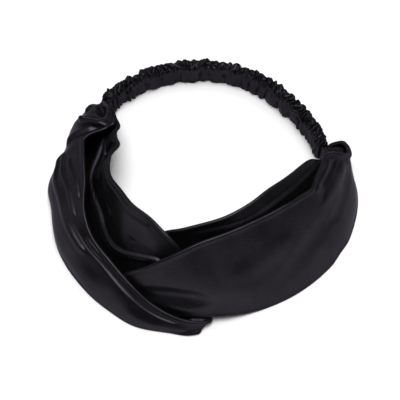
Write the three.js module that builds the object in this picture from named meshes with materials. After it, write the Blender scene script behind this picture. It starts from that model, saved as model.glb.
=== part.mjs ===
// A twist headband of black satin: two folded satin loops that hook through
// each other at the front, and a ruched casing with elastic in it that joins
// them at the back. Millimetres, +Z up. The headband rests on its lower edges
// with the twist towards -Y and the casing towards +Y.
import * as THREE from 'three';

// ---------------------------------------------------------------- driving sizes
const CASING_END = 119; // degrees round the ring from the twist to a casing mouth
const CASING_HEIGHT = 16.5; // across the casing, standing on its edge
const CASING_THICKNESS = 7; // through the gathered satin and the elastic
const RUFFLES = 50; // puffs of satin along the casing
const MOUTH_DEPTH = 7; // how far the ends of the loops are tucked into the casing
const MOUTH_WALL = 1.2; // satin round each mouth
const MOUTH_EDGE = CASING_END - 0.5; // degrees: where a loop starts to spread, just outside the casing
const TUCKED = CASING_END + 4.4; // degrees: where the end of a loop stops inside the casing
const CLOTH = 2.0; // wall of a loop: a satin strip sewn double and puffed
const CLOTH_AT_END = 1.4; // the same wall where it is pressed into the casing
const LAYER_GAP = 0.4; // between the two layers of a loop inside a mouth
const LYING = 1.3; // cloth that would hang lower than this lies on the table
const ACROSS = 12; // cells across a strip
const PER_RIB = 3; // cells along a strip between two ribs

// The line of the casing round the head, from the right mouth to the left one:
// degrees from the twist and distance from the ring's axis.
const CASING_LINE = [
  { at: CASING_END, r: 77.5 },
  { at: 143.4, r: 77.3 },
  { at: 167.8, r: 80 },
  { at: 192.2, r: 81 },
  { at: 216.6, r: 80.8 },
  { at: 360 - CASING_END, r: 79.3 },
];

// A loop is a strip that runs from one casing mouth to the twist, turns round
// the other loop and comes back to the same mouth. Each rib is one line across
// the strip. at, r, z: its upper edge, in degrees round the ring from the twist
// towards the loop's own mouth, distance from the ring's axis, and height.
// lowAt, lowR, lowZ: its lower edge. bow: how far the cloth stands out from the
// straight line between the edges. peak: where across it stands out most.
const IN_MOUTH = { z: 13.3, lowZ: 3.2, bow: 0, peak: 0.5 };
const LAYER_STEP = (CLOTH_AT_END + LAYER_GAP) / 2;
const endRib = (at, r) => ({ at, r, lowAt: at, lowR: r, ...IN_MOUTH });
const leftEnd = (at, side) => endRib(at, casingRadius(360 - at) + side * LAYER_STEP);
const rightEnd = (at, side) => endRib(at, casingRadius(at) + side * LAYER_STEP);

const LEFT_RIBS = [
  // outer layer, low along the side and in front at the twist
  leftEnd(TUCKED, 1),
  leftEnd(MOUTH_EDGE, 1),
  { at: 113, r: 77, z: 20, lowAt: 113, lowR: 81.5, lowZ: 0.6, bow: 1.5, peak: 0.6 },
  { at: 104, r: 70, z: 27, lowAt: 104, lowR: 83, lowZ: 0.6, bow: 4, peak: 0.6 },
  { at: 94, r: 67.5, z: 30, lowAt: 94, lowR: 83, lowZ: 0.6, bow: 4, peak: 0.6 },
  { at: 85, r: 68, z: 30, lowAt: 85, lowR: 81, lowZ: 0.6, bow: 3, peak: 0.6 },
  { at: 75, r: 67.5, z: 31, lowAt: 75, lowR: 86, lowZ: 0.6, bow: 4.5, peak: 0.6 },
  { at: 63, r: 69.5, z: 30, lowAt: 63, lowR: 85, lowZ: 0.6, bow: 3.5, peak: 0.6 },
  { at: 50, r: 75, z: 28, lowAt: 52, lowR: 89.5, lowZ: 0.6, bow: 3.5, peak: 0.5 },
  { at: 37, r: 77, z: 26, lowAt: 41, lowR: 91.5, lowZ: 0.6, bow: 4, peak: 0.5 },
  { at: 25, r: 80, z: 25, lowAt: 30, lowR: 92.5, lowZ: 0.6, bow: 3.5, peak: 0.5 },
  { at: 13, r: 84.5, z: 20, lowAt: 18, lowR: 94, lowZ: 0.6, bow: 3, peak: 0.5 },
  { at: 3, r: 88.3, z: 13, lowAt: 8, lowR: 96.3, lowZ: 0.6, bow: 2, peak: 0.5 },
  { at: -6, r: 91.3, z: 9, lowAt: -3, lowR: 95.5, lowZ: 0.6, bow: 1, peak: 0.5 },
  { at: -12, r: 91.8, z: 6.5, lowAt: -10, lowR: 96.5, lowZ: 0.8, bow: 0, peak: 0.5 },
  // the turn under the lower edge of the right loop
  { at: -17, r: 90.5, z: 4.6, lowAt: -14, lowR: 94.5, lowZ: 0.8, bow: 0, peak: 0.5 },
  { at: -18.5, r: 87.5, z: 4, lowAt: -7, lowR: 90.5, lowZ: 0.8, bow: 0, peak: 0.5 },
  { at: -17, r: 83.5, z: 8, lowAt: -7, lowR: 87.5, lowZ: 0.8, bow: 0, peak: 0.5 },
  // inner layer, up behind the right loop and high along the side
  { at: -12, r: 77.5, z: 24, lowAt: -5, lowR: 87, lowZ: 0.6, bow: -0.5, peak: 0.5 },
  { at: -6, r: 69.5, z: 41, lowAt: 0, lowR: 86, lowZ: 1, bow: 0.5, peak: 0.4 },
  { at: 2, r: 62.5, z: 49, lowAt: 8, lowR: 84.8, lowZ: 6, bow: 2, peak: 0.3 },
  { at: 14, r: 56.5, z: 50, lowAt: 16, lowR: 84.3, lowZ: 7.5, bow: 2, peak: 0.3 },
  { at: 28, r: 54.5, z: 48.5, lowAt: 28, lowR: 84, lowZ: 7.5, bow: 2.5, peak: 0.3 },
  { at: 43, r: 52, z: 45, lowAt: 43, lowR: 85, lowZ: 3, bow: 3, peak: 0.3 },
  { at: 58, r: 52.5, z: 41, lowAt: 58, lowR: 82.5, lowZ: 0.6, bow: 3, peak: 0.3 },
  { at: 74, r: 49.5, z: 36.5, lowAt: 74, lowR: 82, lowZ: 0.6, bow: 3, peak: 0.3 },
  { at: 88, r: 49, z: 33, lowAt: 88, lowR: 78.5, lowZ: 0.6, bow: 3, peak: 0.4 },
  { at: 100, r: 51.5, z: 30, lowAt: 100, lowR: 79.5, lowZ: 0.6, bow: 2, peak: 0.5 },
  { at: 111, r: 62, z: 22, lowAt: 111, lowR: 80, lowZ: 0.6, bow: 0.5, peak: 0.5 },
  leftEnd(MOUTH_EDGE, -1),
  leftEnd(TUCKED, -1),
];

const RIGHT_RIBS = [
  // outer layer, the wide smooth panel
  rightEnd(TUCKED, 1),
  rightEnd(MOUTH_EDGE, 1),
  { at: 115, r: 83.5, z: 27, lowAt: 115, lowR: 85, lowZ: 0.6, bow: 3, peak: 0.5 },
  { at: 107, r: 79, z: 33, lowAt: 108, lowR: 91, lowZ: 0.6, bow: 5, peak: 0.5 },
  { at: 94, r: 71, z: 40.5, lowAt: 96, lowR: 93.5, lowZ: 0.6, bow: 5, peak: 0.5 },
  { at: 77, r: 68, z: 46, lowAt: 82, lowR: 93, lowZ: 0.6, bow: 5, peak: 0.5 },
  { at: 60, r: 62, z: 49, lowAt: 66, lowR: 90.5, lowZ: 0.6, bow: 5, peak: 0.5 },
  { at: 43, r: 60, z: 50, lowAt: 50, lowR: 88.5, lowZ: 0.6, bow: 5, peak: 0.5 },
  { at: 28, r: 61, z: 50, lowAt: 36, lowR: 87.5, lowZ: 1, bow: 5, peak: 0.5 },
  { at: 13, r: 65, z: 49, lowAt: 22, lowR: 88.2, lowZ: 6.2, bow: 4, peak: 0.5 },
  { at: 0, r: 73, z: 43, lowAt: 10, lowR: 87.6, lowZ: 6.5, bow: 1.5, peak: 0.5 },
  { at: -9, r: 77.5, z: 32, lowAt: 0, lowR: 86.9, lowZ: 6.5, bow: 0.3, peak: 0.5 },
  { at: -16, r: 80.2, z: 22, lowAt: -9, lowR: 88, lowZ: 6, bow: 0, peak: 0.5 },
  // the turn under the lower edge of the left loop
  { at: -22, r: 86.6, z: 11, lowAt: -15, lowR: 89, lowZ: 3, bow: 0, peak: 0.5 },
  { at: -27, r: 84, z: 4, lowAt: -18, lowR: 84.5, lowZ: 1, bow: 0, peak: 0.5 },
  { at: -24, r: 79, z: 9, lowAt: -17, lowR: 79, lowZ: 0.8, bow: 0, peak: 0.5 },
  // inner layer, back to the same mouth
  { at: -17, r: 69, z: 24, lowAt: -12, lowR: 78, lowZ: 0.8, bow: 0, peak: 0.5 },
  { at: -8, r: 59, z: 38, lowAt: 0, lowR: 78, lowZ: 0.6, bow: 1, peak: 0.5 },
  { at: 4, r: 54, z: 44, lowAt: 12, lowR: 78, lowZ: 0.6, bow: 3, peak: 0.5 },
  { at: 17, r: 51.5, z: 47.5, lowAt: 24, lowR: 78.5, lowZ: 0.6, bow: 4, peak: 0.5 },
  { at: 32, r: 50.5, z: 50, lowAt: 38, lowR: 80, lowZ: 0.6, bow: 4, peak: 0.5 },
  { at: 48, r: 49.5, z: 51.5, lowAt: 53, lowR: 82, lowZ: 0.6, bow: 4, peak: 0.5 },
  { at: 65, r: 49.5, z: 50.5, lowAt: 68, lowR: 84, lowZ: 0.6, bow: 4, peak: 0.5 },
  { at: 83, r: 55, z: 46, lowAt: 85, lowR: 85, lowZ: 0.6, bow: 3, peak: 0.5 },
  { at: 99, r: 63, z: 38, lowAt: 100, lowR: 84, lowZ: 0.6, bow: 2, peak: 0.5 },
  { at: 111, r: 71.5, z: 25, lowAt: 111, lowR: 80, lowZ: 0.8, bow: 0.5, peak: 0.5 },
  rightEnd(MOUTH_EDGE, -1),
  rightEnd(TUCKED, -1),
];

// Folds that run along a strip. from, to: the ribs it starts and ends at.
// start, middle, end: its place across the strip there, 0 at the upper edge and
// 1 at the lower. height: how far it stands out. width: its half width, as a
// share of the strip's.
const LEFT_FOLDS = [
  { from: 3, to: 14, start: 0.62, middle: 0.22, end: 0.2, height: 1.8, width: 0.13 },
  { from: 3, to: 10, start: 0.4, middle: 0.24, end: 0.05, height: -1.6, width: 0.11 },
  { from: 2, to: 8, start: 0.25, middle: 0.18, end: 0.02, height: 1.6, width: 0.1 },
  { from: 28, to: 19.5, start: 0.35, middle: 0.34, end: 0.36, height: 2.4, width: 0.13 },
  { from: 28, to: 23, start: 0.16, middle: 0.15, end: 0.12, height: -1.5, width: 0.11 },
];
const RIGHT_FOLDS = [
  { from: 1.5, to: 6, start: 0.1, middle: 0.1, end: 0.06, height: 1.6, width: 0.1 },
  { from: 1.5, to: 6, start: 0.28, middle: 0.27, end: 0.24, height: -1.8, width: 0.12 },
  { from: 1.5, to: 8, start: 0.45, middle: 0.46, end: 0.6, height: 1.6, width: 0.16 },
  { from: 8, to: 12.5, start: 0.75, middle: 0.8, end: 0.7, height: 1.2, width: 0.16 },
  { from: 26, to: 19, start: 0.2, middle: 0.2, end: 0.14, height: 1.4, width: 0.14 },
];
const FOLD_FADE = 0.25; // the share of its length over which a fold rises or dies out

// Pleats at both gathered ends of a loop: how many across the strip, their
// height, and the ribs, counted from the end, between which they rise and fade.
const PLEATS = { across: 3.5, height: 0.9, rise: [1, 2], fade: [2.2, 5] };

// ---------------------------------------------------------------- cloth
const { degToRad, lerp, radToDeg, smoothstep } = THREE.MathUtils;

function ringPoint(at, r, z) {
  return new THREE.Vector3(r * Math.sin(degToRad(at)), -r * Math.cos(degToRad(at)), z);
}

// A column of a table as a function of the place u along its rows: a smooth
// curve through the rows, straight over the first and the last stretch.
function column(rows, name, u) {
  const lastRow = rows.length - 1;
  const i = THREE.MathUtils.clamp(Math.floor(u), 0, lastRow - 1);
  const [b, c] = [rows[i][name], rows[i + 1][name]];
  const straight = i === 0 || i === lastRow - 1;
  const a = straight ? 2 * b - c : rows[i - 1][name];
  const d = straight ? 2 * c - b : rows[i + 2][name];
  const f = u - i;
  return b + 0.5 * f * (c - a + f * (2 * a - 5 * b + 4 * c - d + f * (3 * (b - c) + d - a)));
}

// Distance of the casing's line from the ring's axis.
function casingRadius(at) {
  const span = 360 - 2 * CASING_END;
  return column(CASING_LINE, 'r', ((at - CASING_END) / span) * (CASING_LINE.length - 1));
}

// One rib at any place u along the strip, as a function of the place t across it.
function ribAt(rows, u) {
  const value = (name) => column(rows, name, u);
  const [at, r, z] = [value('at'), value('r'), value('z')];
  const [lowAt, lowR, lowZ] = [value('lowAt'), value('lowR'), value('lowZ')];
  const [bow, peak] = [value('bow'), value('peak')];
  return (t) => {
    const away = t < peak ? (peak - t) / peak : (t - peak) / (1 - peak);
    return ringPoint(lerp(at, lowAt, t), lerp(r, lowR, t) + bow * (1 - away * away), lerp(z, lowZ, t));
  };
}

// The middle of the cloth as rows of points, one row for each station along it.
function clothGrid(rows) {
  const grid = [];
  for (let i = 0; i <= (rows.length - 1) * PER_RIB; i++) {
    const rib = ribAt(rows, i / PER_RIB);
    grid.push(Array.from({ length: ACROSS + 1 }, (_, j) => rib(j / ACROSS)));
  }
  return grid;
}

function normalsOf(grid) {
  const lastRow = grid.length - 1;
  return grid.map((row, i) =>
    row.map((point, j) => {
      const along = grid[Math.min(i + 1, lastRow)][j].clone().sub(grid[Math.max(i - 1, 0)][j]);
      const across = row[Math.min(j + 1, ACROSS)].clone().sub(row[Math.max(j - 1, 0)]);
      return along.cross(across).normalize();
    })
  );
}

// The closed wall round the middle surface: one face each side, and a rim.
function wallGeometry(grid, thickness, mirrored) {
  const normals = normalsOf(grid);
  const rows = grid.length;
  const columns = grid[0].length;
  const positions = [];
  for (const side of [0.5, -0.5]) {
    grid.forEach((row, i) =>
      row.forEach((point, j) => {
        const p = point.clone().addScaledVector(normals[i][j], side * thickness(i / PER_RIB));
        positions.push(mirrored ? -p.x : p.x, p.y, p.z < LYING ? 0 : p.z);
      })
    );
  }
  const id = (side, i, j) => side * rows * columns + i * columns + j;
  const index = [];
  const quad = (a, b, c, d) => index.push(...(mirrored ? [a, c, b, a, d, c] : [a, b, c, a, c, d]));
  for (let i = 0; i + 1 < rows; i++) {
    for (let j = 0; j + 1 < columns; j++) {
      quad(id(0, i, j), id(0, i + 1, j), id(0, i + 1, j + 1), id(0, i, j + 1));
      quad(id(1, i, j), id(1, i, j + 1), id(1, i + 1, j + 1), id(1, i + 1, j));
    }
    quad(id(0, i, 0), id(1, i, 0), id(1, i + 1, 0), id(0, i + 1, 0));
    const last = columns - 1;
    quad(id(0, i, last), id(0, i + 1, last), id(1, i + 1, last), id(1, i, last));
  }
  for (let j = 0; j + 1 < columns; j++) {
    quad(id(0, 0, j), id(0, 0, j + 1), id(1, 0, j + 1), id(1, 0, j));
    const last = rows - 1;
    quad(id(0, last, j), id(1, last, j), id(1, last, j + 1), id(0, last, j + 1));
  }
  const geometry = new THREE.BufferGeometry();
  geometry.setAttribute('position', new THREE.Float32BufferAttribute(positions, 3));
  geometry.setIndex(index);
  return geometry;
}

// How far folds and gathered pleats lift the cloth at the place (u, t).
function foldLift(folds, u, t) {
  let lift = 0;
  for (const { from, to, start, middle, end, height, width } of folds) {
    const s = (u - from) / (to - from);
    if (s <= 0 || s >= 1) continue;
    const line = start * (1 - s) * (1 - 2 * s) + 4 * middle * s * (1 - s) + end * s * (2 * s - 1);
    const off = Math.abs(t - line) / width;
    if (off < 1) lift += height * (1 - off * off) ** 2 * smoothstep(Math.min(s, 1 - s), 0, FOLD_FADE);
  }
  return lift;
}

function pleatLift(u, t, last) {
  const fromEnd = Math.min(u, last - u);
  const strength = smoothstep(fromEnd, ...PLEATS.rise) * (1 - smoothstep(fromEnd, ...PLEATS.fade));
  return PLEATS.height * strength * Math.cos(2 * Math.PI * PLEATS.across * t);
}

// Moves the cloth away from the ring's axis by its folds.
function folded(grid, folds) {
  const last = (grid.length - 1) / PER_RIB;
  const normals = normalsOf(grid);
  return grid.map((row, i) =>
    row.map((point, j) => {
      const [u, t] = [i / PER_RIB, j / ACROSS];
      const outward = Math.sign(normals[i][j].x * point.x + normals[i][j].y * point.y);
      const lift = foldLift(folds, u, t) + pleatLift(u, t, last);
      return point.clone().addScaledVector(normals[i][j], outward * lift);
    })
  );
}

function loopGeometry(rows, folds, mirrored) {
  const last = rows.length - 1;
  const thickness = (u) => lerp(CLOTH_AT_END, CLOTH, smoothstep(Math.min(u, last - u), 1, 2));
  return wallGeometry(folded(clothGrid(rows), folds), thickness, mirrored);
}

// ---------------------------------------------------------------- casing
// The section of the casing, from the middle of its outer face over the top:
// out and up are shares of half its thickness and half its height, puff is how
// far the ruffles move that point, in millimetres, outwards and upwards.
const CASING_SECTION = [
  { out: 1, up: 0.1, puffOut: 0.5, puffUp: 0 },
  { out: 1, up: 0.55, puffOut: 0.7, puffUp: 0 },
  { out: 0.85, up: 0.85, puffOut: 0.6, puffUp: 0.5 },
  { out: 0.3, up: 1, puffOut: 0, puffUp: 0.9 },
  { out: -0.4, up: 0.98, puffOut: 0, puffUp: 0.8 },
  { out: -0.85, up: 0.8, puffOut: -0.4, puffUp: 0.4 },
  { out: -0.95, up: 0.45, puffOut: -0.25, puffUp: 0 },
  { out: -0.95, up: 0, puffOut: -0.3, puffUp: 0 },
  { out: -0.95, up: -0.5, puffOut: -0.35, puffUp: 0 },
  { out: -0.85, up: -0.88, puffOut: -0.4, puffUp: 0 },
  { out: -0.5, up: -1, puffOut: 0, puffUp: 0 },
  { out: 0.5, up: -1, puffOut: 0, puffUp: 0 },
  { out: 0.9, up: -0.85, puffOut: 0.4, puffUp: 0 },
  { out: 1, up: -0.4, puffOut: 0.5, puffUp: 0 },
];
const CASING_STATIONS = 2 * RUFFLES; // a crest and a dip for each ruffle

// No two ruffles are quite alike: their height is a mean and two slow waves.
const PUFF_MEAN = 0.75;
const PUFF_WAVES = [
  { height: 0.35, rate: 0.9 },
  { height: 0.25, rate: 0.37 },
];

function casingRing(at, thick, high, puff) {
  const middle = casingRadius(at);
  return CASING_SECTION.map(({ out, up, puffOut, puffUp }) => {
    const r = middle + (out * thick) / 2 + puff * puffOut;
    const z = (CASING_HEIGHT + up * high) / 2 + puff * puffUp;
    return ringPoint(at, r, z);
  });
}

function casingGeometry() {
  const start = CASING_END;
  const end = 360 - CASING_END;
  const mouthThick = CASING_THICKNESS - 2 * MOUTH_WALL;
  const mouthHigh = CASING_HEIGHT - 2 * MOUTH_WALL;
  const mouthDegrees = radToDeg(MOUTH_DEPTH / CASING_LINE[0].r);
  const rings = [
    casingRing(start + mouthDegrees, mouthThick, mouthHigh, 0),
    casingRing(start, mouthThick, mouthHigh, 0),
  ];
  for (let i = 0; i <= CASING_STATIONS; i++) {
    const at = lerp(start, end, i / CASING_STATIONS);
    const puff = PUFF_WAVES.reduce((sum, wave) => sum + wave.height * Math.sin(i * wave.rate), PUFF_MEAN);
    rings.push(casingRing(at, CASING_THICKNESS, CASING_HEIGHT, i % 2 ? puff : -puff));
  }
  rings.push(casingRing(end, mouthThick, mouthHigh, 0));
  rings.push(casingRing(end - mouthDegrees, mouthThick, mouthHigh, 0));

  const positions = rings.flat().flatMap((p) => [p.x, p.y, p.z]);
  const sides = CASING_SECTION.length;
  const index = [];
  for (let i = 0; i + 1 < rings.length; i++) {
    for (let k = 0; k < sides; k++) {
      const a = i * sides + k;
      const b = i * sides + ((k + 1) % sides);
      index.push(a, a + sides, b, b, a + sides, b + sides);
    }
  }
  // the blind floor of each mouth
  const last = (rings.length - 1) * sides;
  for (let k = 1; k + 1 < sides; k++) {
    index.push(0, k, k + 1);
    index.push(last, last + k + 1, last + k);
  }
  const geometry = new THREE.BufferGeometry();
  geometry.setAttribute('position', new THREE.Float32BufferAttribute(positions, 3));
  geometry.setIndex(index);
  return geometry;
}

// ---------------------------------------------------------------- assembly
const satin = () => new THREE.MeshStandardMaterial({ color: 0x1b191d, roughness: 0.35, metalness: 0 });

function piece(name, geometry) {
  const mesh = new THREE.Mesh(geometry, satin());
  mesh.name = name;
  return mesh;
}

const headband = new THREE.Group();
headband.add(piece('left_loop', loopGeometry(LEFT_RIBS, LEFT_FOLDS, true)));
headband.add(piece('right_loop', loopGeometry(RIGHT_RIBS, RIGHT_FOLDS, false)));
headband.add(piece('back_casing', casingGeometry()));

// The origin is under the middle of the whole headband, on the table.
const box = new THREE.Box3().setFromObject(headband);
const middle = box.getCenter(new THREE.Vector3());
headband.position.set(-middle.x, -middle.y, -box.min.z);

export default headband;
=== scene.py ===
"""A twist headband of black satin: two folded satin loops that hook through each other at the
front, and a ruched elastic casing that joins them at the back. It lies on its lower edges."""

import math
import random

import bpy
import numpy as np
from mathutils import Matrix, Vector


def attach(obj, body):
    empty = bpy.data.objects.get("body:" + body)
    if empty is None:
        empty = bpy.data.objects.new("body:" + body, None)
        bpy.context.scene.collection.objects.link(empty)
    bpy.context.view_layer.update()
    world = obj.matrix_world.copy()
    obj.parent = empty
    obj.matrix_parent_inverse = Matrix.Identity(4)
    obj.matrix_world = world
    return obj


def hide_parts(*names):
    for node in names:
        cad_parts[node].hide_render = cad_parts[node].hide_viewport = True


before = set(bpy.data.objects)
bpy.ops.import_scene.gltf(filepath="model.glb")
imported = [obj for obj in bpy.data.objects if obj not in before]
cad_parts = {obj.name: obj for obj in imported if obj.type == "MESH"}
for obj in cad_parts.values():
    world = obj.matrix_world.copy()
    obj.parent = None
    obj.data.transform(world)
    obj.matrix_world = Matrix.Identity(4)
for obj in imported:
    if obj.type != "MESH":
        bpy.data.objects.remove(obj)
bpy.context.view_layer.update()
bpy.ops.object.select_all(action="DESELECT")


# ---------------------------------------------------------------- Table, lights and camera
# The headband lies on a plain white table in a small photo studio. Soft lamps
# hang high over it and stand to the left, right and back, and the room is dim.
TABLE_SIZE = 8.0
TABLE_COLOUR = (0.93, 0.93, 0.93, 1.0)
ROOM_COLOUR = (1.0, 1.0, 1.0, 1.0)
ROOM_STRENGTH = 0.06
# name, degrees round from the front towards the right, degrees up, distance, size, watts
LAMPS = (
    ("lamp_top", 170, 68, 3.0, 1.6, 22.0),
    ("lamp_over", 0, 85, 3.0, 1.6, 80.0),
    ("lamp_left", -95, 16, 1.6, 0.7, 1.5),
    ("lamp_high_left", -95, 45, 1.5, 0.6, 1.5),
    ("lamp_right", 95, 40, 1.5, 0.7, 1.0),
    ("lamp_front_right", 50, 20, 1.6, 0.7, 1.0),
    ("lamp_back", -170, 45, 1.6, 0.7, 1.6),
)
AIM = Vector((0.0004, -0.0140, 0.0200))
CAMERA_AZIMUTH = 14
CAMERA_ELEVATION = 60
CAMERA_DISTANCE = 0.644
CAMERA_LENS = 100.0


def direction(azimuth, elevation):
    """A unit vector: azimuth in degrees from the front towards the right, elevation upwards."""
    round_, up = math.radians(azimuth), math.radians(elevation)
    return Vector((math.sin(round_) * math.cos(up), -math.cos(round_) * math.cos(up), math.sin(up)))


def aim_at(thing, target):
    """Turns a lamp or the camera to look at a point."""
    thing.rotation_euler = (target - thing.location).to_track_quat("-Z", "Y").to_euler()


bpy.ops.mesh.primitive_plane_add(size=TABLE_SIZE, location=(0, 0, 0))
table = bpy.context.object
table.name = "table"
table_paint = bpy.data.materials.new("table_paint")
table_paint.use_nodes = True
table_shader = table_paint.node_tree.nodes["Principled BSDF"]
table_shader.inputs["Base Color"].default_value = TABLE_COLOUR
table_shader.inputs["Roughness"].default_value = 0.9
table_shader.inputs["Specular IOR Level"].default_value = 0.1
table.data.materials.append(table_paint)

room = bpy.data.worlds.new("studio")
bpy.context.scene.world = room
room.use_nodes = True
room.node_tree.nodes["Background"].inputs["Color"].default_value = ROOM_COLOUR
room.node_tree.nodes["Background"].inputs["Strength"].default_value = ROOM_STRENGTH

for lamp_name, azimuth, elevation, distance, size, watts in LAMPS:
    bpy.ops.object.light_add(type="AREA", location=AIM + distance * direction(azimuth, elevation))
    lamp = bpy.context.object
    lamp.name = lamp_name
    lamp.data.size = size
    lamp.data.energy = watts
    aim_at(lamp, AIM)

away = direction(CAMERA_AZIMUTH, CAMERA_ELEVATION)
bpy.ops.object.camera_add(location=AIM + CAMERA_DISTANCE * away)
camera = bpy.context.object
camera.name = "camera"
camera.data.lens = CAMERA_LENS
aim_at(camera, AIM)
bpy.context.scene.camera = camera
bpy.context.scene.view_settings.view_transform = "Standard"


# ---------------------------------------------------------------- Left loop
# A wide strip of black satin sewn double and turned, so that both its long edges
# are soft rolled folds. It is folded in a U round the right loop at the twist,
# and both its ends are gathered into the left mouth of the casing.
MM = 0.001  # a millimetre in metres
RING_AXIS = (-5.135, 5.982)  # the ring's axis in the frame, in millimetres
CASING_END = 119  # degrees round the ring from the twist to a mouth of the casing
MOUTH_EDGE = CASING_END - 0.5
TUCKED = CASING_END + 4.4
LAYER_STEP = 0.9  # between the two layers of a loop inside a mouth, halved
GATHERED_TOP = 13.3  # height of a strip's upper edge inside a mouth
GATHERED_LOW = 3.2  # and of its lower edge
# the casing's line from the right mouth to the left: degrees, distance from the axis
CASING_LINE = (
    (119, 77.5),
    (143.4, 77.3),
    (167.8, 80),
    (192.2, 81),
    (216.6, 80.8),
    (241, 79.3),
)


def column(rows, index, u):
    """A column of a table at places u along its rows: smooth, and straight over the end stretches."""
    values = np.array([row[index] for row in rows], float)
    last = len(values) - 1
    i = np.clip(np.floor(u).astype(int), 0, last - 1)
    b, c = values[i], values[i + 1]
    straight = (i == 0) | (i == last - 1)
    a = np.where(straight, 2 * b - c, values[np.maximum(i - 1, 0)])
    d = np.where(straight, 2 * c - b, values[np.minimum(i + 2, last)])
    f = u - i
    return b + 0.5 * f * (c - a + f * (2 * a - 5 * b + 4 * c - d + f * (3 * (b - c) + d - a)))


def casing_radius(at):
    """The casing's distance from the ring's axis, at degrees round the ring."""
    place = (np.asarray(at, float) - CASING_END) / (360 - 2 * CASING_END) * (len(CASING_LINE) - 1)
    return column(CASING_LINE, 1, place)


def end_rib(at, casing_at, side):
    """A row of a rib table for a gathered end: side is 1 for the outer layer and -1 for the inner."""
    r = float(casing_radius(casing_at)) + side * LAYER_STEP
    return (at, r, GATHERED_TOP, at, r, GATHERED_LOW, 0, 0.5)


def left_end(at, side):
    return end_rib(at, 360 - at, side)


# One row for each line across the strip. at, r, z: its upper edge, in degrees round the
# ring from the twist towards the loop's own mouth, distance from the axis, and height.
# low_at, low_r, low_z: its lower edge. bow: how far the cloth stands out between the
# edges. peak: where across it stands out most.
LEFT_RIBS = (
    # outer layer, low along the side and in front at the twist
    left_end(TUCKED, 1),
    left_end(MOUTH_EDGE, 1),
    (117.4, 76, 16.5, 117.4, 80, 1.6, 3, 0.35),
    (114.5, 70.5, 23, 114.5, 82.5, 0.6, 5, 0.4),
    (110, 64, 26, 110, 84, 0.6, 9, 0.38),
    (106, 58.8, 28.5, 106, 85, 0.6, 11.5, 0.36),
    (102.5, 57.5, 29.5, 103, 85.3, 0.6, 12.5, 0.36),
    (99.5, 60.2, 28, 99.5, 85.5, 0.6, 10, 0.36),
    (94.5, 65, 28, 94.5, 84.5, 0.6, 7, 0.36),
    (89, 69.8, 28, 89, 82.5, 0.6, 5.5, 0.38),
    (82.5, 68.4, 29, 82.5, 86, 0.6, 5.5, 0.5),
    (73.5, 66.8, 30, 73.5, 88.8, 0.6, 7.5, 0.55),
    (62, 67.5, 30, 64, 87.4, 0.6, 7.5, 0.55),
    (48, 73.7, 29, 51, 91.8, 0.6, 6, 0.5),
    (37, 77.5, 26.5, 41, 93.4, 0.6, 4.5, 0.4),
    (25, 80, 25, 30, 94.5, 0.6, 3.5, 0.5),
    (13, 84.5, 20, 18, 95.6, 0.6, 3, 0.5),
    (3, 88.3, 13, 8, 97.2, 0.6, 2, 0.5),
    (-6, 91.3, 9, -3, 96, 0.6, 1, 0.5),
    (-12, 91.8, 6.5, -10, 96.5, 0.8, 0, 0.5),
    # the turn under the lower edge of the right loop
    (-17, 90.5, 4.6, -14, 94.5, 0.8, 0, 0.5),
    (-18.5, 87.5, 4, -7, 90.5, 0.8, 0, 0.5),
    (-17, 83.5, 8, -7, 87.5, 0.8, 0, 0.5),
    # inner layer, up behind the right loop and high along the side
    (-12, 75.3, 24, -5, 84.8, 0.6, -1.5, 0.5),
    (-6, 68, 41, 0, 84.3, 1, -3, 0.4),
    (2, 62.5, 49, 8, 84.3, 6, -5, 0.4),
    (14, 56.5, 50, 16, 84, 7.5, -3.2, 0.4),
    (28, 54.8, 48.5, 28, 83.5, 7, -3, 0.5),
    (43, 53, 45, 43, 82.5, 3, -8.5, 0.5),
    (58, 53.6, 41, 58, 80, 0.6, -8, 0.5),
    (74, 51.5, 38, 74, 78.5, 0.6, -6.5, 0.5),
    (80.5, 49.5, 36, 80.5, 77.5, 0.6, -6, 0.5),
    (87, 48, 33.5, 87, 76.5, 0.6, -4.5, 0.5),
    (94.5, 51.5, 30.5, 94.5, 76.5, 0.6, -3.5, 0.5),
    (99, 53.5, 29, 99, 77, 0.6, -3, 0.5),
    (104, 54.2, 28, 104, 78.5, 0.6, -1.5, 0.5),
    (110, 61, 25, 110, 79.5, 0.6, 0, 0.5),
    (114.5, 68, 21.5, 114.5, 80.2, 0.6, 0.5, 0.5),
    left_end(MOUTH_EDGE, -1),
    left_end(TUCKED, -1),
)
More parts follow.
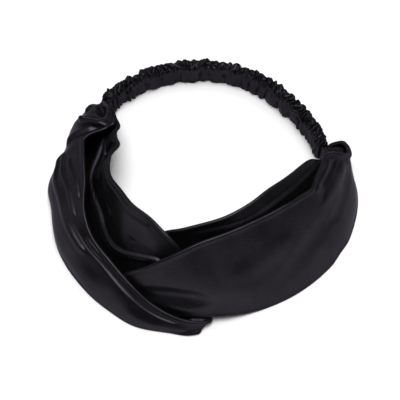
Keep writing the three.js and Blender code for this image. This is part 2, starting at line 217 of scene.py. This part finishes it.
# Folds. layer: 0 the outer layer of the loop, 1 the inner. height: how far the fold stands
# out, in millimetres. above, below: how far it reaches towards the upper and the lower
# edge. Then its line: degrees round the ring, and place across from 0, the upper edge,
# to 1, the lower.
LEFT_FOLDS = (
    # outer layer: the fold that runs down from the gather, and the groove under the edge
    (0, 1.3, 1.8, 4.0, (88, 0.58), (78, 0.51), (70, 0.45), (56, 0.33), (44, 0.24), (34, 0.2)),
    (0, -0.8, 1.2, 1.8,
     (71, 0.36), (56, 0.24), (42, 0.14), (31, 0.12), (20, 0.13), (6, 0.17), (-8, 0.2)),
    (0, 0.7, 1.5, 1.8, (40, 0.06), (27, 0.05)),
    # short folds that run down from the gather
    (0, 1.5, 1.5, 2.6, (86, 0.4), (78, 0.35), (70, 0.28), (60, 0.2), (48, 0.12)),
    (0, 1.3, 1.3, 2.4, (82, 0.24), (74, 0.17), (64, 0.1), (54, 0.05)),
    (0, 0.8, 4.0, 4.0, (80, 0.66), (84, 0.4), (85, 0.1)),
    # the hollow by the casing, the finger across the gather, and the crease under it
    (0, -6.0, 5.5, 5.5, (117, 0.3), (112, 0.14), (104, 0.08)),
    (0, 1.6, 2.2, 2.2, (117, 0.62), (111, 0.42), (106, 0.36)),
    (0, 2.4, 2.0, 2.2, (104.5, 0.42), (101.6, 0.27), (101.3, 0.02)),
    (0, -1.8, 1.6, 1.8, (99.6, 0.03), (98.6, 0.12), (95.5, 0.25)),
    (0, 2.4, 3.0, 4.0, (99, 0.04), (94, 0.2), (88, 0.45)),
    # inner layer: the long double ridge, the hollow above it, and the folded upper edge
    (1, 1.9, 1.8, 3.0,
     (107, 0.5), (101, 0.5), (95, 0.55), (80, 0.66), (54, 0.62), (39, 0.66), (22, 0.62), (1, 0.44)),
    (1, 1.3, 1.6, 1.6, (101, 0.36), (95, 0.41), (80, 0.53), (66, 0.54)),
    (1, -1.0, 2.4, 2.4, (74, 0.4), (54, 0.44), (39, 0.5)),
    (1, 0.9, 1.2, 1.8, (74, 0.12), (58, 0.11), (43, 0.1), (10, 0.1)),
    (1, 0.8, 1.8, 1.8, (25, 0.42), (18, 0.42)),
    (1, 1.2, 1.5, 1.8, (97, 0.16), (88, 0.04)),
    (1, 1.4, 1.8, 1.8, (88, 0.03), (84, 0.25), (82, 0.46)),
    (1, -1.6, 2.4, 2.4, (94.6, 0.05), (90, 0.28), (86, 0.5)),
)
# Pleats at the gathered ends of a loop, as they leave the casing: how many across the
# strip, their height in millimetres, the ribs from the end between which they rise and
# fade, and the seed of their spacing.
PLEATS = (6, 0.5, (0.9, 1.9), (2.4, 3.6), 21)
PLEAT_WIDTHS = (0.6, 1.4)  # the narrowest and the widest pleat, as shares of the usual one
PLEAT_LENGTHS = (0.75, 1.35)  # the shortest and the longest, the same way
PLEAT_SWING = 1.6  # from the bottom of its crease to the top of a pleat, in heights
PLEAT_ROUNDNESS = 0.8  # under 1 its top is broad and its crease is sharp
UNDULATION = (0.55, 17.0)  # slow waves of the cloth: height and length in millimetres
WAVE_GRID = (14, 56)  # millimetres from rib to rib, and across the strip, as the waves count them
WAVES_RISE = (1, 4)  # ribs from the end between which the waves set in
PER_RIB = 12  # rows of faces between two ribs
ACROSS = 96  # faces across the strip
ROUND = 6  # faces round each rolled edge
PLY = 0.75  # half the thickness of the doubled satin
ROLL = 1.15  # the same at a rolled edge
ROLL_REACH = 1.5  # how far in from the edge the roll goes
MOUTH_SQUEEZE = 0.6  # how much of its thickness the cloth keeps inside a mouth
SQUEEZE_ENDS = (1, 2)  # ribs from the end between which it gets the rest back
EDGE_CROWDING = 0.06  # how far the rows of faces crowd towards the rolled edges
HOLLOW_CURVE = 1.35  # a hollow is creased
BULGE_CURVE = 2  # and a bulge is round
SMOOTHING = 4  # rows over which the ribs are blended
FOLD_STEPS = 90  # places along a fold's line
FOLD_FADE = 6.0  # the least length over which a fold rises or dies out
FOLD_END_WIDTH = 0.45  # how wide a fold is at its ends, as a share of its middle
FOLD_CREST = 0.02  # the share of the strip over which its two sides meet


def smoothstep(x, low, high):
    x = np.clip((x - low) / (high - low), 0, 1)
    return x * x * (3 - 2 * x)


def unit(v):
    return v / np.maximum(np.linalg.norm(v, axis=-1, keepdims=True), 1e-9)


def soft_noise(x, y, seed):
    """Smooth noise from -1 to 1 over the plane, with features about one unit across."""
    size = 64
    lattice = np.random.default_rng(seed).uniform(-1, 1, (size, size))
    i, k = np.floor(x).astype(int), np.floor(y).astype(int)
    fx, fy = smoothstep(x - i, 0, 1), smoothstep(y - k, 0, 1)
    i, k, after_i, after_k = i % size, k % size, (i + 1) % size, (k + 1) % size
    near = lattice[i, k] * (1 - fx) + lattice[after_i, k] * fx
    far = lattice[i, after_k] * (1 - fx) + lattice[after_i, after_k] * fx
    return near * (1 - fy) + far * fy


def blended(rows):
    """Each row of points becomes a weighted mean of its neighbours, so that no rib shows."""
    weights = np.hanning(2 * SMOOTHING + 3)[1:-1]
    weights /= weights.sum()
    wide = np.pad(rows, ((SMOOTHING, SMOOTHING), (0, 0), (0, 0)), mode="reflect", reflect_type="odd")
    return sum(w * wide[k:k + len(rows)] for k, w in enumerate(weights))


def cloth_grid(ribs):
    """The middle of the cloth before its folds: points, rib, place across and degrees round."""
    u = np.linspace(0, len(ribs) - 1, (len(ribs) - 1) * PER_RIB + 1)[:, None]
    even = np.linspace(0, 1, ACROSS + 1)[None, :]
    t = even - EDGE_CROWDING * np.sin(2 * np.pi * even)
    at, r, z, low_at, low_r, low_z, bow, peak = (column(ribs, k, u) for k in range(8))
    away_from_peak = np.where(t < peak, (peak - t) / peak, (t - peak) / (1 - peak))
    degrees = at + (low_at - at) * t
    angle = np.radians(degrees)
    curve = np.where(bow < 0, HOLLOW_CURVE, BULGE_CURVE)
    radius = r + (low_r - r) * t + bow * (1 - away_from_peak ** curve)
    height = z + (low_z - z) * t
    points = blended(np.stack([radius * np.sin(angle), -radius * np.cos(angle), height], axis=-1))
    return points, np.broadcast_to(u, height.shape), np.broadcast_to(t, height.shape), degrees


def normals_of(points):
    """The way the cloth faces at each point of its grid."""
    return unit(np.cross(np.gradient(points, axis=0), np.gradient(points, axis=1)))


def line_on_cloth(points, t, degrees, line_degrees, line_t, first, last):
    """The points of a line on the cloth, between rows first and last, and their rows."""
    columns = np.interp(line_t, t[0], np.arange(t.shape[1]))
    rows = np.empty(len(columns))
    for k, (place, wanted) in enumerate(zip(columns, line_degrees)):
        across = degrees[first:last, int(round(place))]
        order = slice(None) if across[-1] > across[0] else slice(None, None, -1)
        rows[k] = np.interp(wanted, across[order], np.arange(first, last)[order])
    i, j = rows.astype(int), columns.astype(int)
    i, j = np.minimum(i, len(points) - 2), np.minimum(j, t.shape[1] - 2)
    a, b = (rows - i)[:, None], (columns - j)[:, None]
    near = points[i, j] * (1 - b) + points[i, j + 1] * b
    far = points[i + 1, j] * (1 - b) + points[i + 1, j + 1] * b
    return near * (1 - a) + far * a, rows


def distance_to(path, points):
    """Distance from each point to a path of short straight steps, and the nearest step."""
    apart = np.linalg.norm(points[:, :, None] - path, axis=-1)
    nearest = apart.argmin(axis=-1)
    best = apart.min(axis=-1)
    for side in (-1, 1):
        start, end = path[nearest], path[np.clip(nearest + side, 0, len(path) - 1)]
        step = end - start
        share = ((points - start) * step).sum(-1) / np.maximum((step * step).sum(-1), 1e-9)
        foot = start + step * np.clip(share, 0, 1)[..., None]
        best = np.minimum(best, np.linalg.norm(points - foot, axis=-1))
    return best, nearest


def fold_lift(folds, points, t, degrees):
    """How far the folds lift each point of the cloth off its plain surface."""
    lift = np.zeros(t.shape)
    turn = int(np.argmin(degrees[:, 0]))  # the row where the outer layer ends and the inner begins
    margin = 2 * PER_RIB  # how many rows past its own line a fold may reach
    for layer, height, above, below, *line in folds:
        s = np.linspace(0, len(line) - 1, FOLD_STEPS)
        line_t = column(line, 1, s)
        first, last = (turn, len(points)) if layer else (0, turn)
        path, rows = line_on_cloth(points, t, degrees, column(line, 0, s), line_t, first, last)
        near_first = max(int(rows.min()) - margin, first)
        near_last = min(int(rows.max()) + margin, last)
        distance, nearest = distance_to(path, points[near_first:near_last])
        gone = np.concatenate([[0], np.cumsum(np.linalg.norm(np.diff(path, axis=0), axis=-1))])
        rise = max(FOLD_FADE, above + below)
        fade = smoothstep(np.minimum(gone, gone[-1] - gone), 0, rise)[nearest]
        below_line = smoothstep(t[near_first:near_last] - line_t[nearest], -FOLD_CREST, FOLD_CREST)
        width = FOLD_END_WIDTH + (1 - FOLD_END_WIDTH) * fade
        reach = (above + (below - above) * below_line) * width
        profile = np.clip(1 - (distance / reach) ** 2, 0, 1) ** 2
        lift[near_first:near_last] += height * fade * profile
    return lift


def pleat_lift(u, t, last):
    """How far the pleats lift each point at the two gathered ends of a loop."""
    count, height, rise, fade, seed = PLEATS
    chance = np.random.default_rng(seed)
    edges = np.concatenate([[0], np.cumsum(chance.uniform(*PLEAT_WIDTHS, count))])
    edges /= edges[-1]
    lengths = chance.uniform(*PLEAT_LENGTHS, count)
    cell = np.clip(np.searchsorted(edges, t, side="right") - 1, 0, count - 1)
    share = (t - edges[cell]) / (edges[cell + 1] - edges[cell])
    from_end = np.minimum(u, last - u)
    fade_to = fade[1] * lengths[cell]
    strength = smoothstep(from_end, *rise) * (1 - smoothstep(from_end, fade[0], fade_to))
    return height * strength * (PLEAT_SWING * np.sin(np.pi * share) ** PLEAT_ROUNDNESS - 1)


def ring_to_frame(points):
    """From millimetres round the ring's axis to metres in the frame."""
    return (points + np.array([RING_AXIS[0], RING_AXIS[1], 0])) * MM


def closed_tube(name, rings, u_lengths, v_lengths):
    """A closed mesh through rings of points, with a UV map in metres along and round it."""
    count, around = rings.shape[:2]
    i, k = np.meshgrid(np.arange(count - 1), np.arange(around), indexing="ij")
    i, k = i.ravel(), k.ravel()
    after = (k + 1) % around
    quads = np.stack([
        i * around + k,
        (i + 1) * around + k,
        (i + 1) * around + after,
        i * around + after,
    ], 1)
    faces = quads.tolist()
    faces.append(list(range(around)))
    faces.append(list(range(count * around - 1, (count - 1) * around - 1, -1)))
    mesh = bpy.data.meshes.new(name)
    mesh.from_pydata(ring_to_frame(rings.reshape(-1, 3)).tolist(), [], faces)
    uv = np.zeros((len(mesh.loops), 2), np.float32)
    corners_u = np.stack([u_lengths[i], u_lengths[i + 1], u_lengths[i + 1], u_lengths[i]], 1)
    corners_v = np.stack([v_lengths[k], v_lengths[k], v_lengths[k + 1], v_lengths[k + 1]], 1)
    uv[: 4 * len(quads)] = np.stack([corners_u, corners_v], -1).reshape(-1, 2) * MM
    mesh.uv_layers.new(name="cloth").data.foreach_set("uv", uv.ravel())
    corners = mesh.vertices
    some_faces = faces[:-2:7]  # one in seven is enough to tell whether they point inwards
    volume = sum(corners[f[0]].co.dot(corners[f[1]].co.cross(corners[f[2]].co)) for f in some_faces)
    if volume < 0:
        mesh.flip_normals()
    mesh.polygons.foreach_set("use_smooth", [True] * len(mesh.polygons))
    thing = bpy.data.objects.new(name, mesh)
    bpy.context.scene.collection.objects.link(thing)
    return thing


def loop_rings(ribs, folds, mirrored, seed):
    """Rings round the doubled strip: out over one face, round the lower edge, and back."""
    points, u, t, degrees = cloth_grid(ribs)
    normals = normals_of(points)
    outward = np.sign(normals[..., :1] * points[..., :1] + normals[..., 1:2] * points[..., 1:2])
    last = len(ribs) - 1
    wave, wave_length = UNDULATION
    rib_step, strip_width = WAVE_GRID
    from_end = np.minimum(u, last - u)
    waves = wave * soft_noise(u * rib_step / wave_length, t * strip_width / wave_length, seed)
    waves = waves * smoothstep(from_end, *WAVES_RISE)
    lift = fold_lift(folds, points, t, degrees) + pleat_lift(u, t, last) + waves
    points = points + normals * outward * lift[..., None]
    normals = normals_of(points)
    steps = np.linalg.norm(np.diff(points, axis=1), axis=-1)
    along = np.concatenate([np.zeros((len(points), 1)), np.cumsum(steps, axis=1)], axis=1)
    from_edge = np.minimum(along, along[:, -1:] - along)
    roll = np.exp(-((from_edge / ROLL_REACH) ** 2))
    squeezed = MOUTH_SQUEEZE + (1 - MOUTH_SQUEEZE) * smoothstep(from_end, *SQUEEZE_ENDS)
    half = (PLY + (ROLL - PLY) * roll) * squeezed
    top_out = unit(points[:, 0] - points[:, 1])
    low_out = unit(points[:, -1] - points[:, -2])
    turn = np.linspace(0, np.pi, ROUND + 1)[1:-1]
    h, n = half[..., None], normals
    low_cap = [points[:, -1] + h[:, -1] * (n[:, -1] * math.cos(a) + low_out * math.sin(a)) for a in turn]
    top_cap = [points[:, 0] + h[:, 0] * (-n[:, 0] * math.cos(a) + top_out * math.sin(a)) for a in turn]
    rings = np.concatenate([
        points + n * h,
        np.stack(low_cap, 1),
        (points - n * h)[:, ::-1],
        np.stack(top_cap, 1),
    ], axis=1)
    rings[..., 2] = np.maximum(rings[..., 2], 0)
    if mirrored:
        rings[..., 0] *= -1
    return rings


def lengths_of(rings):
    """Lengths along and round a tube of rings, for its UV map."""
    middle = rings.mean(axis=1)
    u_lengths = np.concatenate([[0], np.cumsum(np.linalg.norm(np.diff(middle, axis=0), axis=-1))])
    closed = np.concatenate([rings, rings[:, :1]], axis=1)
    steps = np.linalg.norm(np.diff(closed, axis=1), axis=-1).mean(axis=0)
    return u_lengths, np.concatenate([[0], np.cumsum(steps)])


DYE_DEEP = (0.0165, 0.015, 0.0185)
DYE_WORN = (0.0315, 0.029, 0.035)
SHINE_SPREAD = 0.08  # how far the roughness strays from its middle
YARNS_PER_METRE = (260.0, 5200.0, 1.0)  # floats along the cloth, and yarns across it
CLOUDS_PER_METRE = 55.0


def satin(name, roughness, painted_shade):
    """Black satin: long fine yarns on the face, so its shine is soft and drawn out one way."""
    material = bpy.data.materials.new(name)
    material.use_nodes = True
    nodes, links = material.node_tree.nodes, material.node_tree.links
    shader = nodes["Principled BSDF"]
    # nearly all of the light comes back as a shine, which stays weak at the edges too
    shader.inputs["Metallic"].default_value = 0.92
    shader.inputs["Specular IOR Level"].default_value = 0.25
    shader.inputs["Specular Tint"].default_value = (0.50, 0.48, 0.52, 1.0)
    shader.inputs["Anisotropic"].default_value = 0.35
    shader.inputs["Sheen Weight"].default_value = 0.02
    shader.inputs["Sheen Roughness"].default_value = 0.4
    cloth = nodes.new("ShaderNodeUVMap")
    cloth.uv_map = "cloth"
    tangent = nodes.new("ShaderNodeTangent")
    tangent.direction_type = "UV_MAP"
    tangent.uv_map = "cloth"
    links.new(tangent.outputs["Tangent"], shader.inputs["Tangent"])

    # yarns a fifth of a millimetre wide, whose floats are about four millimetres long
    yarns = nodes.new("ShaderNodeMapping")
    yarns.inputs["Scale"].default_value = YARNS_PER_METRE
    links.new(cloth.outputs["UV"], yarns.inputs["Vector"])
    floats = nodes.new("ShaderNodeTexNoise")
    floats.inputs["Scale"].default_value = 1.0
    floats.inputs["Detail"].default_value = 2.0
    links.new(yarns.outputs["Vector"], floats.inputs["Vector"])
    relief = nodes.new("ShaderNodeBump")
    relief.inputs["Strength"].default_value = 0.12
    relief.inputs["Distance"].default_value = 0.00006
    links.new(floats.outputs["Fac"], relief.inputs["Height"])
    links.new(relief.outputs["Normal"], shader.inputs["Normal"])

    # the dye and the shine vary a little over a few centimetres
    cloudy = nodes.new("ShaderNodeTexNoise")
    cloudy.inputs["Scale"].default_value = CLOUDS_PER_METRE
    cloudy.inputs["Detail"].default_value = 3.0
    links.new(cloth.outputs["UV"], cloudy.inputs["Vector"])
    shine = nodes.new("ShaderNodeMapRange")
    shine.inputs["To Min"].default_value = roughness - SHINE_SPREAD
    shine.inputs["To Max"].default_value = roughness + SHINE_SPREAD
    links.new(cloudy.outputs["Fac"], shine.inputs["Value"])
    links.new(shine.outputs["Result"], shader.inputs["Roughness"])
    dye = nodes.new("ShaderNodeValToRGB")
    # the dye is multiplied by the shade factor: below 1 the darker colour is painted shade, not a darker
    # cloth
    dye.color_ramp.elements[0].position = 0.36
    dye.color_ramp.elements[0].color = (*(painted_shade * value for value in DYE_DEEP), 1.0)
    dye.color_ramp.elements[1].position = 0.64
    dye.color_ramp.elements[1].color = (*(painted_shade * value for value in DYE_WORN), 1.0)
    blend = nodes.new("ShaderNodeMix")
    blend.inputs["Factor"].default_value = 0.55
    links.new(floats.outputs["Fac"], blend.inputs["A"])
    links.new(cloudy.outputs["Fac"], blend.inputs["B"])
    links.new(blend.outputs["Result"], dye.inputs["Fac"])
    links.new(dye.outputs["Color"], shader.inputs["Base Color"])
    return material


loop_satin = satin("loop_satin", roughness=0.41, painted_shade=1.0)
left_rings = loop_rings(LEFT_RIBS, LEFT_FOLDS, mirrored=True, seed=5)
left_loop = closed_tube("left_loop_satin", left_rings, *lengths_of(left_rings))
left_loop.data.materials.append(loop_satin)
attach(left_loop, "root")
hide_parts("left_loop")


# ---------------------------------------------------------------- Right loop
# The same strip the other way round. Its outer layer is the wide smooth panel of
# the front. Both its ends are gathered into the right mouth of the casing.
def right_end(at, side):
    return end_rib(at, at, side)


RIGHT_RIBS = (
    # outer layer, the wide smooth panel
    right_end(TUCKED, 1),
    right_end(MOUTH_EDGE, 1),
    (117.6, 82, 18, 117.6, 82.5, 1.6, 1, 0.5),
    (116, 86, 22, 116.5, 87, 0.6, 1, 0.5),
    (113.5, 88, 23.2, 114, 90, 0.6, 1, 0.5),
    (109.5, 87.8, 24.5, 110.5, 91.3, 0.6, 1.5, 0.5),
    (107.5, 84, 29.5, 108, 92.5, 0.6, 2, 0.5),
    (106, 77, 34, 105, 93.5, 0.6, 3, 0.45),
    (103, 72.5, 36.5, 101, 94.2, 0.6, 4, 0.5),
    (95, 70, 39.5, 94, 94.6, 0.6, 4, 0.55),
    (86, 68.8, 42.8, 87, 94.4, 0.6, 3.5, 0.6),
    (79.5, 68.5, 44.8, 81, 94.1, 0.6, 3.5, 0.6),
    (74, 66.3, 46.3, 76, 93.6, 0.6, 3.3, 0.6),
    (67.5, 63.9, 47.6, 71, 92.9, 0.6, 3.1, 0.6),
    (60, 62, 49, 66, 92, 0.6, 3, 0.6),
    (43, 60, 50, 50, 89.5, 0.6, 3, 0.6),
    (28, 61, 50, 36, 88, 1, 3, 0.6),
    (13, 65, 49, 22, 88.2, 6.2, 2, 0.5),
    (0, 73, 43, 10, 87.6, 6.5, 0.5, 0.5),
    (-9, 77.5, 32, 0, 86.9, 6.5, 0.2, 0.5),
    (-16, 79.4, 21, -9, 87.4, 6, 0, 0.5),
    # the turn under the lower edge of the left loop
    (-22, 86.6, 11, -15, 89, 3, 0, 0.5),
    (-27, 84, 4, -18, 84.5, 1, 0, 0.5),
    (-24, 79, 9, -17, 79, 0.8, 0, 0.5),
    # inner layer, back to the same mouth
    (-17, 67.5, 24, -12, 76.5, 0.8, 0, 0.5),
    (-8, 57.5, 38, 0, 75.5, 0.6, 0, 0.5),
    (4, 54.6, 44, 12, 76, 0.6, -1, 0.5),
    (17, 52.3, 47.5, 24, 77, 0.6, -1, 0.5),
    (32, 51, 50, 38, 78.5, 0.6, 1.2, 0.15),
    (48, 50.2, 51.5, 53, 81, 0.6, 2.4, 0.15),
    (65, 50.2, 50.5, 68, 82, 0.6, 2.8, 0.15),
    (83, 55, 46, 85, 82, 0.6, 2.6, 0.15),
    (96, 62.5, 43, 97, 82, 0.6, 2.5, 0.2),
    (100.5, 67.8, 36.5, 101, 82, 0.6, 1.8, 0.3),
    (104.5, 73.5, 28.5, 104.5, 81.5, 0.6, 1, 0.5),
    (108.5, 82.6, 23, 108.5, 77.5, 0.8, 0, 0.5),
    (113.5, 85.8, 20.8, 113.5, 75.5, 0.8, 0, 0.5),
    right_end(MOUTH_EDGE, -1),
    right_end(TUCKED, -1),
)
RIGHT_FOLDS = (
    # outer layer: soft folds that fan out from the gather along its upper edge
    (0, 1.2, 1.6, 3.0, (117, 0.14), (112, 0.12), (108, 0.1)),
    (0, 1.0, 1.5, 3.5, (104, 0.05), (95, 0.06), (87, 0.05), (79, 0.04)),
    (0, -0.9, 2.6, 3.0, (105, 0.16), (96, 0.14), (84, 0.1)),
    (0, 0.8, 4.5, 6.0, (107, 0.34), (96, 0.29), (86, 0.24), (76, 0.22)),
    (0, -0.6, 6.0, 6.0, (108, 0.52), (94, 0.47), (74, 0.48)),
    # soft folds across the front, and the hollow above the left loop
    (0, 0.7, 9.0, 10.0, (62, 0.28), (46, 0.36), (24, 0.46)),
    (0, -0.6, 9.0, 10.0, (84, 0.36), (66, 0.5), (44, 0.72)),
    (0, -2.2, 8.0, 9.0, (22, 0.76), (6, 0.64), (-12, 0.5)),
    # inner layer
    (1, 0.8, 3.0, 4.5, (102, 0.14), (60, 0.12), (10, 0.1)),
    (1, 1.2, 3.5, 4.5, (102, 0.45), (109, 0.3), (115, 0.35)),
)
right_rings = loop_rings(RIGHT_RIBS, RIGHT_FOLDS, mirrored=False, seed=9)
right_loop = closed_tube("right_loop_satin", right_rings, *lengths_of(right_rings))
right_loop.data.materials.append(loop_satin)
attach(right_loop, "root")
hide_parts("right_loop")


# ---------------------------------------------------------------- Back casing
# A satin tube ruched over flat elastic. The elastic pulls its length in, so the
# satin stands in sharp-creased puffs, finest along the upper frill. The gathered
# ends of the loops are sewn into its two mouths.
CASING_HEIGHT = 16.5
CASING_THICKNESS = 7.0
CASING_STEPS = 900  # rings of faces along the casing
SECTION_STEPS = 88  # faces round it
MOUTH_DEPTH = 7.0
MOUTH_WALL = 1.2
MOUTH_TAPER = 0.05  # how far the casing closes on the gathers at its mouths
TAPER_LENGTH = 3  # and over how many millimetres
SECTION_BLENDS = 3  # how often the section's corners are softened
# the tube's section from the middle of its outer face over the top: out, up as shares
# of half its thickness and half its height
CASING_SECTION = (
    (1, 0.1),
    (1, 0.55),
    (0.85, 0.85),
    (0.3, 1),
    (-0.4, 0.98),
    (-0.85, 0.8),
    (-0.95, 0.45),
    (-0.95, 0),
    (-0.95, -0.5),
    (-0.85, -0.88),
    (-0.5, -1),
    (0.5, -1),
    (0.9, -0.85),
    (1, -0.4),
)
# rows of puffs on each stretch of the section: where round it they are strongest (a
# share of the way round), how far they reach, puff length in millimetres in the middle
# and by the mouths, height, and seed
PUFFS = (
    (0.14, 0.11, 4.2, 2.6, 1.3, 3),  # outer shoulder
    (0.27, 0.10, 3.6, 2.5, 2.5, 7),  # upper frill
    (0.37, 0.06, 3.0, 2.2, 1.4, 29),  # crinkles under the frill
    (0.56, 0.24, 8.0, 3.2, 1.9, 11),  # wide pleats of the inner face, down to its edge
    (0.72, 0.08, 4.0, 2.6, 1.0, 5),  # lower edge
    (0.95, 0.16, 5.5, 3.2, 1.0, 13),  # outer face
)
PUFF_LENGTHS = (0.55, 1.6)  # the shortest and the longest puff, as shares of the row's
PUFF_HEIGHTS = (0.45, 1.3)  # the same for their heights
PUFF_CREASE = 0.5  # how far the creases between them sink, in heights
FINE_END = (8, 40)  # millimetres from a mouth between which the puffs grow to full length
LONG_SLANT = (1.6, 9)  # the creases lean to and fro: by how much, and how slowly
SHORT_SLANT = (0.9, 3.7)
OUTWARD_PULL = 0.6  # under 1 the puffs stand out sideways more than up
CRINKLE = 0.9  # height of the irregular crinkles all over
CRINKLE_LENGTH = 1.9
CRINKLES_ROUND = 12
CRINKLE_SEED = 17


def puff_row(arc, middle_length, end_length, seed):
    """Round puffs with sharp creases between them, at the places arc along the casing."""
    chance = random.Random(seed)
    edges = [0.0]
    while edges[-1] < arc.max():
        near_end = 1 - smoothstep(min(edges[-1], arc.max() - edges[-1]), *FINE_END)
        length = middle_length + (end_length - middle_length) * float(near_end)
        edges.append(edges[-1] + length * chance.uniform(*PUFF_LENGTHS))
    heights = np.array([chance.uniform(*PUFF_HEIGHTS) for _ in edges])
    edges = np.array(edges)
    cell = np.clip(np.searchsorted(edges, arc, side="right") - 1, 0, len(edges) - 2)
    share = (arc - edges[cell]) / (edges[cell + 1] - edges[cell])
    return heights[cell] * np.sqrt(np.clip(np.sin(np.pi * share), 0, 1)) - PUFF_CREASE


def casing_rings(angles, thick, high, puffs, crinkle):
    """Rings of the casing at the given angles: a plain tube where puffs is empty."""
    share = np.arange(SECTION_STEPS) / SECTION_STEPS
    rows = np.array(CASING_SECTION + CASING_SECTION[:1], float)
    places = np.linspace(0, 1, len(rows))
    out, up = (np.interp(share, places, rows[:, k]) for k in (0, 1))
    for _ in range(SECTION_BLENDS):
        out, up = (0.25 * np.roll(v, 1) + 0.5 * v + 0.25 * np.roll(v, -1) for v in (out, up))
    middle = casing_radius(angles)[:, None]
    arc = np.radians(angles - angles[0])[:, None] * CASING_LINE[0][1]
    size = np.hypot(out * thick, up * high * OUTWARD_PULL)
    out_way, up_way = out * thick / size, up * high * OUTWARD_PULL / size
    long_lean, long_way = LONG_SLANT
    short_lean, short_way = SHORT_SLANT
    lift = np.zeros((len(angles), SECTION_STEPS))
    for centre, reach, middle_length, end_length, tall, seed in puffs:
        apart = (share - centre + 0.5) % 1 - 0.5
        weight = np.exp(-((apart / reach) ** 2))
        slant = long_lean * np.sin(arc / long_way + seed)
        slant = slant + short_lean * np.sin(arc / short_way + 2 * seed)
        shifted = np.clip(arc + slant * (apart / reach), 0, arc.max())
        lift += tall * weight * puff_row(shifted, middle_length, end_length, seed)
    round_tube = share * CRINKLES_ROUND + 0 * arc  # the same on every ring
    lift += crinkle * soft_noise(arc / CRINKLE_LENGTH, round_tube, CRINKLE_SEED)
    angle = np.radians(angles)[:, None]
    from_mouth = np.minimum(arc, arc[-1] - arc)
    closed = 1 - MOUTH_TAPER * (1 - smoothstep(from_mouth, 0, TAPER_LENGTH)) if puffs else 1
    radius = middle + (out * thick / 2 + lift * out_way) * closed
    z = np.maximum(CASING_HEIGHT / 2 + (up * high / 2 + lift * up_way) * closed, 0)
    return np.stack([radius * np.sin(angle), -radius * np.cos(angle), z], axis=-1)


casing_angles = np.linspace(CASING_END, 360 - CASING_END, CASING_STEPS + 1)
mouth_turn = math.degrees(MOUTH_DEPTH / CASING_LINE[0][1])
in_right = np.array([CASING_END + mouth_turn, CASING_END])
in_left = np.array([360 - CASING_END, 360 - CASING_END - mouth_turn])
# inside, a mouth is the same tube less its wall, with neither puffs nor crinkles
mouth = (CASING_THICKNESS - 2 * MOUTH_WALL, CASING_HEIGHT - 2 * MOUTH_WALL, (), 0)
ring_stack = np.concatenate([
    casing_rings(in_right, *mouth),
    casing_rings(casing_angles, CASING_THICKNESS, CASING_HEIGHT, PUFFS, CRINKLE),
    casing_rings(in_left, *mouth),
])
back_casing = closed_tube("back_casing_satin", ring_stack, *lengths_of(ring_stack))
# the casing's dye is darkened to 0.78 of the loops': painted shade that stands in for the shade caught
# in the fine creases of its puffs
back_casing.data.materials.append(satin("casing_satin", roughness=0.43, painted_shade=0.78))
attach(back_casing, "root")
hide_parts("back_casing")
